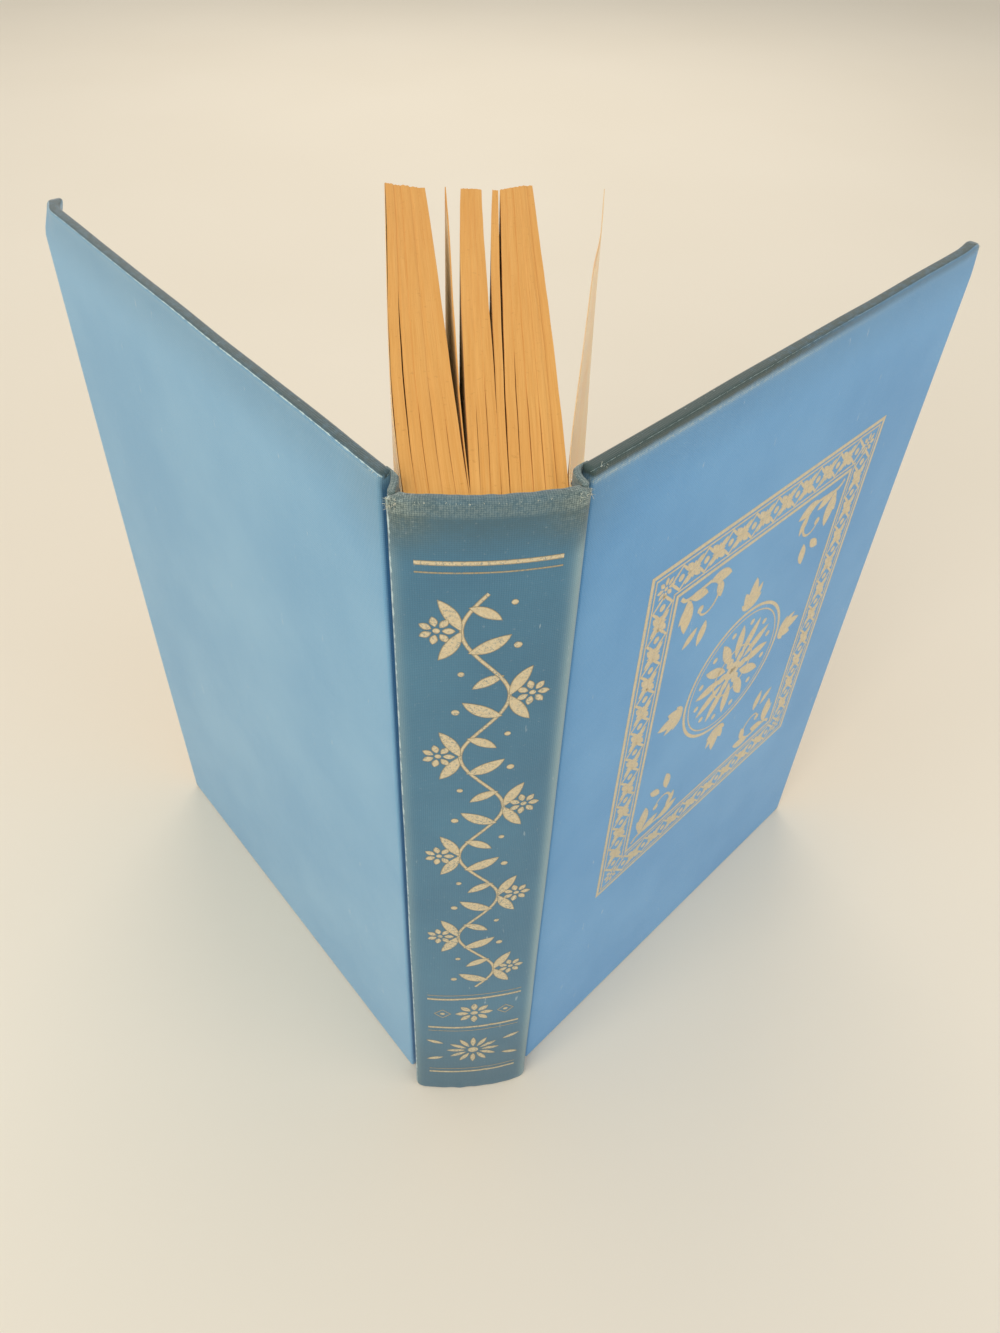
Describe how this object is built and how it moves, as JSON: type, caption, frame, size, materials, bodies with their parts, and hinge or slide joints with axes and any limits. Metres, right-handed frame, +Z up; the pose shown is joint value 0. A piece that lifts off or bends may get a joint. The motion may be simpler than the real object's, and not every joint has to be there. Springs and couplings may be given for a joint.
{
  "type": "open hardback book",
  "caption": "An open hardback book stands on its tail edges: cloth covers swung back in a V, each hinged at its groove, and the pages fanned into bundles.",
  "frame": {"origin": "middle of the spine's tail edge, on the surface that the book stands on", "axes": "+Z up from tail to head, +Y from the spine towards the pages' fore-edge, +X to the front cover's side"},
  "size_m": [0.2201, 0.1444, 0.216],
  "materials": {
    "pages": "matte, aged tan at the cut edges",
    "end_paper": "matte cream",
    "lining_paper": "matte brown",
    "mull": "open weave, undyed",
    "spine_card": "matte",
    "board": "matte grey-brown",
    "spine_cloth": "starched plain-weave book cloth, rubbed",
    "cover_cloth": "starched plain-weave book cloth, slight sheen"
  },
  "bodies": {
    "pages_and_spine": {"text_block": "pages", "spine_lining": "lining_paper", "spine_mull": "mull", "spine_inlay": "spine_card", "spine_cloth": "spine_cloth", "front_flyleaf": "end_paper", "back_flyleaf": "end_paper"},
    "front_cover": {"front_board": "board", "front_cover_cloth": "cover_cloth", "front_mull_flap": "mull", "front_pastedown": "end_paper"},
    "back_cover": {"back_board": "board", "back_cover_cloth": "cover_cloth", "back_mull_flap": "mull", "back_pastedown": "end_paper"}
  },
  "joints": [
    {"name": "front_cover_hinge", "type": "hinge", "parent": "pages_and_spine", "child": "front_cover", "pos_m": [0.0152, 0.0059, 0.108], "axis": [0, 0, -1], "range_deg": [-35, 54]},
    {"name": "back_cover_hinge", "type": "hinge", "parent": "pages_and_spine", "child": "back_cover", "pos_m": [-0.0152, 0.0059, 0.108], "axis": [0, 0, 1], "range_deg": [-28, 72]}
  ]
}
